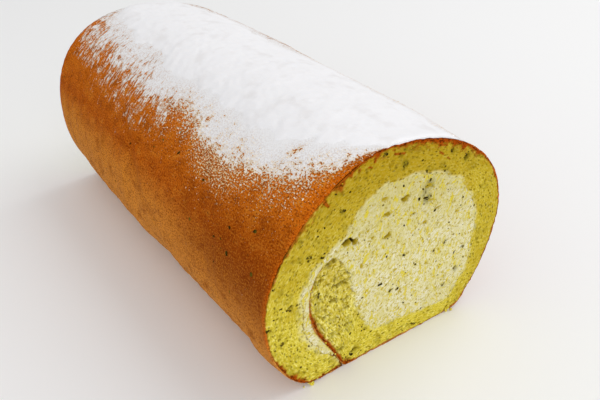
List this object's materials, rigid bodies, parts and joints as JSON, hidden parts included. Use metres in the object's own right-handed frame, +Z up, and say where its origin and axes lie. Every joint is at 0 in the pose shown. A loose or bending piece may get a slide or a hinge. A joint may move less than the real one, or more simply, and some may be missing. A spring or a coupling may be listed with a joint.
{
  "type": "swiss roll cake",
  "caption": "Swiss roll cake: a sheet of green tea sponge rolled round a whipped cream core, both ends cut square, resting on its flattened underside.",
  "frame": {"origin": "on the underside, below the middle of the roll", "axes": "+X along the roll towards the cut end that shows best, +Z up from the underside, +Y across, towards the side away from the tongue"},
  "size_m": [0.16, 0.0947, 0.0767],
  "materials": {
    "sponge": "soft open sponge crumb, matt, yellow-green with dark green tea flecks",
    "cream": "whipped cream, roughly cut, pale yellow-green, soft dull sheen",
    "baked_skin": "thin browned skin of the sponge, matt and finely wrinkled",
    "icing_sugar": "sifted icing sugar, matt white powder",
    "tea_leaf": "ground green tea leaf, dark and matt"
  },
  "bodies": {
    "root": {"sponge_sheet": "sponge", "cream_filling": "cream"}
  },
  "joints": []
}
